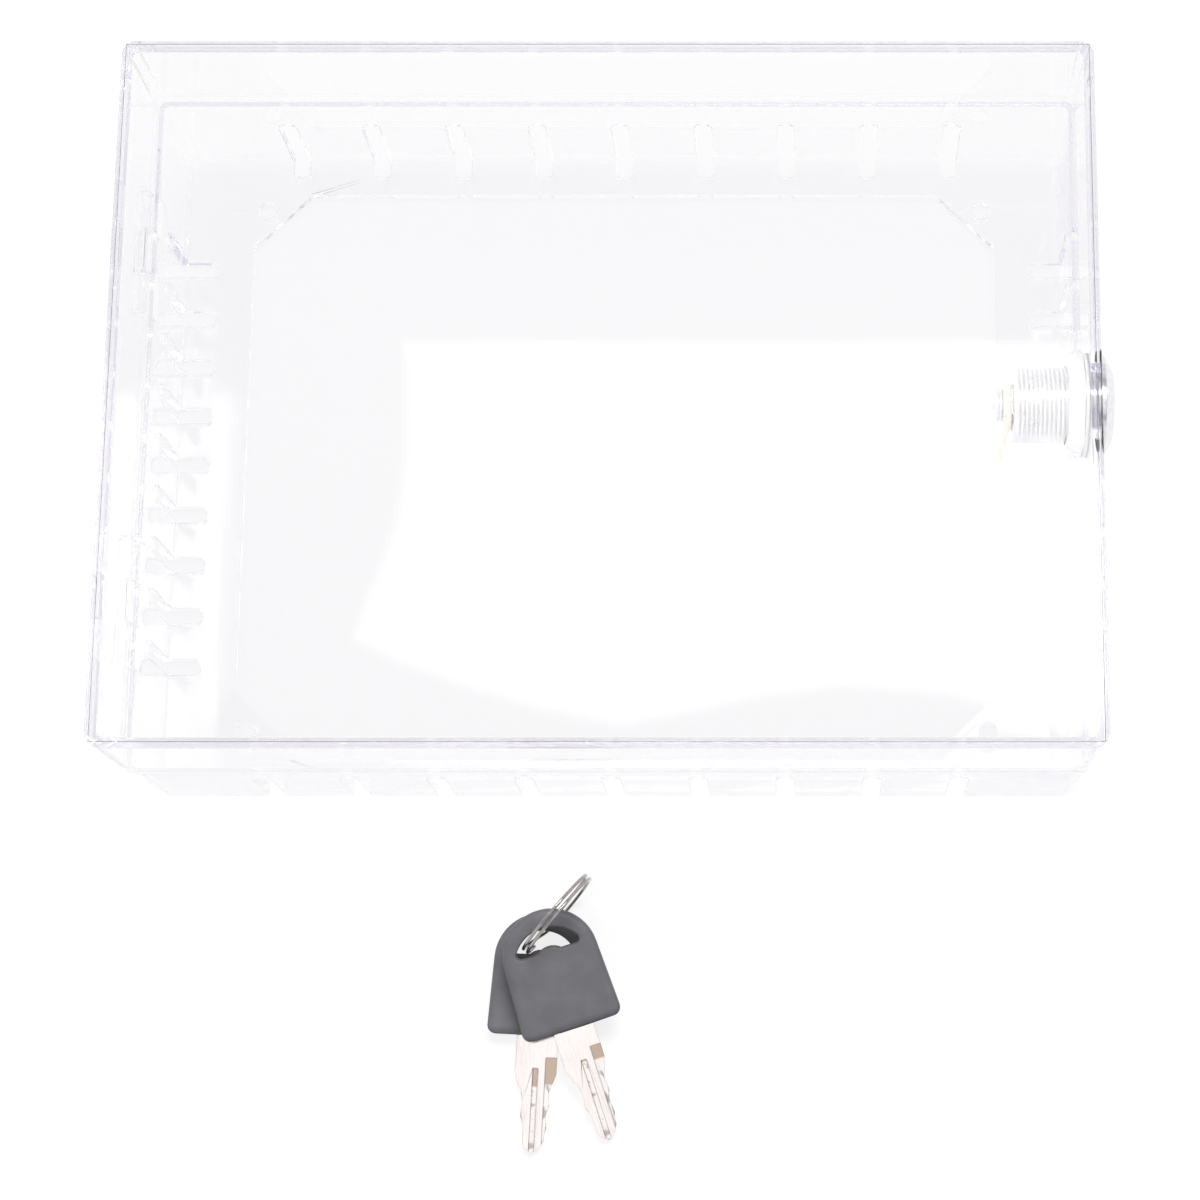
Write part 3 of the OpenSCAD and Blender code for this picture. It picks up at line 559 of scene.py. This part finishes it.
def wire_centre(angle):
    """Radius, turn and sideways place of the wire's middle at an angle along the wire."""
    share = min(max((angle - 360.0 + RING_JOG) / RING_JOG, 0.0), 1.0)
    aside = RING_TURN_PITCH * (share * share * (3 - 2 * share) - 0.5)
    return RING_OUT - WIRE_ACROSS / 2, math.radians(angle + RING_START), aside


ring_place = (Matrix.Rotation(math.radians(RING_TURN), 4, "Z")
              @ Matrix.Rotation(math.radians(RING_LEAN), 4, "X"))
ring_points = []
for step in range(RING_STEPS + 1):
    middle, turn, aside = wire_centre(RING_SWEEP * step / RING_STEPS)
    for side in range(WIRE_SIDES):
        around = 2 * math.pi * side / WIRE_SIDES
        flat = 1.0 / (abs(math.cos(around)) ** WIRE_SQUARENESS
                      + abs(math.sin(around)) ** WIRE_SQUARENESS) ** (1 / WIRE_SQUARENESS)
        radius = middle - flat * WIRE_ACROSS / 2 * math.cos(around)
        shift = aside + flat * WIRE_ALONG / 2 * math.sin(around)
        point = Vector((radius * math.cos(turn), radius * math.sin(turn), shift)) * 0.001
        ring_points.append(ring_place @ point + RING_CENTRE)
ring_faces = []
for step in range(RING_STEPS):
    for side in range(WIRE_SIDES):
        a, b = step * WIRE_SIDES + side, step * WIRE_SIDES + (side + 1) % WIRE_SIDES
        ring_faces.append((a, a + WIRE_SIDES, b + WIRE_SIDES, b))
ring_faces.append(tuple(range(WIRE_SIDES)))
ring_faces.append(tuple(RING_STEPS * WIRE_SIDES + side for side in reversed(range(WIRE_SIDES))))
split_ring = link_mesh("split_ring_wire", ring_points, ring_faces)
ring_steel = plated_metal("ring_steel", (0.43, 0.405, 0.39), 0.12, grain=2200.0, relief=0.1)
split_ring.data.materials.append(ring_steel)
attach(split_ring, "key_ring")
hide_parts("split_ring")


# Key blades
# Nickel-plated brass, cut on both edges, with a milled groove down the middle and one along the
# right edge. Where each groove starts its floor is painted brass-tan: partly bare brass where the
# cutters run out through the plating, partly a painted reflection of the run-out ramp. Further
# down, the groove floors carry dark spots: partly tarnish, partly painted shade for the dimples.
KEY_PLACES = {
    "front": (Vector((-0.0086, -0.136, 0.00716625)), 13.1029, 18.0),
    "back": (Vector((-0.017252, -0.137304, 0.00286625)), 3.93428, -2.5),
}
BLADE_EDGE = 0.00012
BLADE_NICKEL = (0.95, 0.885, 0.865)
MILLED_STREAKS = (6.0, 0.35, 3.0)
RUNOUT_BRASS_AND_REFLECTION = (0.52, 0.41, 0.33, 1.0)
TARNISH_AND_DIMPLE_SHADE = (0.5, 0.46, 0.44, 1.0)
GROOVE_FLOOR_Z = 0.0006
GROOVE_SIDE_SOFT = 0.00005
PATCH_END_SOFT = 0.0003
EDGE_GROOVE_X = (0.0023, 0.006)
EDGE_GROOVE_START = -0.0045
MIDDLE_GROOVE_X = (-0.00065, 0.00065)
MIDDLE_GROOVE_START = -0.007
TARNISH_AND_SHADE_Y = (-0.026, -0.0085)


def blade_metal(name, place, tilt, turn, edge_end, middle_end):
    """Milled nickel with lines along the blade, brass-tan groove floors down to the given places
    of the two grooves (bare brass, with a painted reflection of the run-out), and dark spots below
    (tarnish, with painted shade for the dimples)."""
    material = plated_metal(name, BLADE_NICKEL, 0.16, grain=700.0, relief=0.04)
    nodes, links = material.node_tree.nodes, material.node_tree.links
    coords = next(n for n in nodes if n.type == "TEX_COORD")
    grain_map = next(n for n in nodes if n.type == "MAPPING")
    metal = next(n for n in nodes if n.type == "BSDF_PRINCIPLED")
    tones = next(n for n in nodes if n.type == "VALTORGB")
    grain_map.inputs["Scale"].default_value = MILLED_STREAKS
    own = add_node(nodes, "Mapping", {"vector_type": "TEXTURE"}, Location=place,
                   Rotation=(math.radians(tilt), 0.0, math.radians(turn)))
    split = add_node(nodes, "SeparateXYZ")
    links.new(coords.outputs["Object"], own.inputs["Vector"])
    links.new(own.outputs["Vector"], grain_map.inputs["Vector"])
    links.new(own.outputs["Vector"], split.inputs[0])

    def product(first, second):
        return add_math(nodes, links, "MULTIPLY", first, second)

    def between(output, low, high, soft):
        rise = add_node(nodes, "MapRange", {"interpolation_type": "SMOOTHSTEP"},
                        From_Min=low - soft, From_Max=low + soft)
        fall = add_node(nodes, "MapRange", {"interpolation_type": "SMOOTHSTEP"},
                        From_Min=high + soft, From_Max=high - soft)
        links.new(output, rise.inputs["Value"])
        links.new(output, fall.inputs["Value"])
        return product(rise.outputs[0], fall.outputs[0])

    def painted(share, under, colour):
        mix = add_node(nodes, "Mix", {"data_type": "RGBA"}, B=colour)
        links.new(share, mix.inputs["Factor"])
        links.new(under, mix.inputs["A"])
        return mix.outputs["Result"]

    sideways, lengthways, upwards = (split.outputs[axis] for axis in "XYZ")
    deep = between(upwards, -GROOVE_FLOOR_Z, GROOVE_FLOOR_Z, GROOVE_SIDE_SOFT)
    at_edge = product(between(sideways, *EDGE_GROOVE_X, GROOVE_SIDE_SOFT),
                      between(lengthways, -edge_end, EDGE_GROOVE_START, PATCH_END_SOFT))
    at_middle = product(between(sideways, *MIDDLE_GROOVE_X, GROOVE_SIDE_SOFT),
                        between(lengthways, -middle_end, MIDDLE_GROOVE_START, PATCH_END_SOFT))
    # Groove floors where each groove starts get a brass-tan colour: bare brass, and a painted
    # reflection of the run-out ramp.
    runout_brass_and_reflection = product(deep, add_math(nodes, links, "MAXIMUM", at_edge, at_middle))
    spots = add_node(nodes, "TexNoise", Scale=420.0, Detail=3.0)
    links.new(own.outputs["Vector"], spots.inputs["Vector"])
    # Dark spots down the groove floors: tarnish, and painted shade standing in for the dimples.
    tarnish_and_shade = product(product(deep, between(lengthways, *TARNISH_AND_SHADE_Y, 0.0004)),
                      between(spots.outputs["Fac"], 0.57, 1.2, 0.06))
    milled = painted(runout_brass_and_reflection, tones.outputs["Color"], RUNOUT_BRASS_AND_REFLECTION)
    links.new(painted(tarnish_and_shade, milled, TARNISH_AND_DIMPLE_SHADE), metal.inputs["Base Color"])
    return material


for key, edge_end, middle_end in (("front", 0.0084, 0.008), ("back", 0.0112, 0.0118)):
    nickel = blade_metal("key_nickel_" + key, *KEY_PLACES[key], edge_end, middle_end)
    rounded_form("key_blade_" + key, key + "_key", BLADE_EDGE, nickel)


# Key heads
# Charcoal plastic moulded over each blade, with a fine spark-eroded texture, a bean-shaped ring
# hole and a bare flat face. The rims are well rounded and slope a little further in over the
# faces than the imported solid's.
HEAD_EDGE = 0.0003
HEAD_LEAST_ANGLE = 45
CHARCOAL_DARK = (0.158, 0.156, 0.168, 1.0)
CHARCOAL_LIGHT = (0.19, 0.188, 0.202, 1.0)
RIM_R = 0.0011
RIM_FOOT = 0.0009
RIM_SPREAD = 1.75


def moulded_charcoal(name):
    """Dark moulded plastic with a fine grain and slightly uneven tone and gloss."""
    material, nodes, links = node_material(name)
    coords = add_node(nodes, "TexCoord")
    texture = add_node(nodes, "TexNoise", Scale=2600.0, Detail=3.0)
    tone = add_node(nodes, "TexNoise", Scale=180.0, Detail=3.0)
    tones = add_node(nodes, "ValToRGB")
    dark, light = tones.color_ramp.elements
    dark.position = 0.35
    dark.color = CHARCOAL_DARK
    light.position = 0.7
    light.color = CHARCOAL_LIGHT
    gloss = add_node(nodes, "MapRange", To_Min=0.42, To_Max=0.58)
    grain = add_node(nodes, "Bump", Strength=0.25, Distance=0.0001)
    plastic = add_node(nodes, "BsdfPrincipled")
    output = add_node(nodes, "OutputMaterial")
    links.new(coords.outputs["Object"], texture.inputs["Vector"])
    links.new(coords.outputs["Object"], tone.inputs["Vector"])
    links.new(tone.outputs["Fac"], tones.inputs["Fac"])
    links.new(tone.outputs["Fac"], gloss.inputs["Value"])
    links.new(tones.outputs["Color"], plastic.inputs["Base Color"])
    links.new(gloss.outputs[0], plastic.inputs["Roughness"])
    links.new(texture.outputs["Fac"], grain.inputs["Height"])
    links.new(grain.outputs["Normal"], plastic.inputs["Normal"])
    links.new(plastic.outputs[0], output.inputs["Surface"])
    return material


def spread_rim(piece, place, tilt, turn):
    """Draws the rounded rim of a head further in over its two faces."""
    own = (Matrix.Translation(place) @ Matrix.Rotation(math.radians(turn), 4, "Z")
           @ Matrix.Rotation(math.radians(tilt), 4, "X"))
    to_own = own.inverted()
    points = [to_own @ vert.co for vert in piece.data.vertices]
    side_wall = [point for point in points if abs(abs(point.z) - RIM_FOOT) < 2e-5]
    for vert, point in zip(piece.data.vertices, points):
        if abs(point.z) < RIM_FOOT + 5e-5:
            continue
        near = min(side_wall, key=lambda foot: (foot.xy - point.xy).length)
        inwards = point.xy - near.xy
        if inwards.length < RIM_R * 1.03:
            shift = inwards * (RIM_SPREAD - 1)
            vert.co = own @ (point + Vector((shift.x, shift.y, 0.0)))


key_black = moulded_charcoal("key_black")
for key in ("front", "back"):
    key_head = rounded_form("key_head_" + key, key + "_key", HEAD_EDGE, key_black,
                            least_angle=HEAD_LEAST_ANGLE)
    spread_rim(key_head, *KEY_PLACES[key])
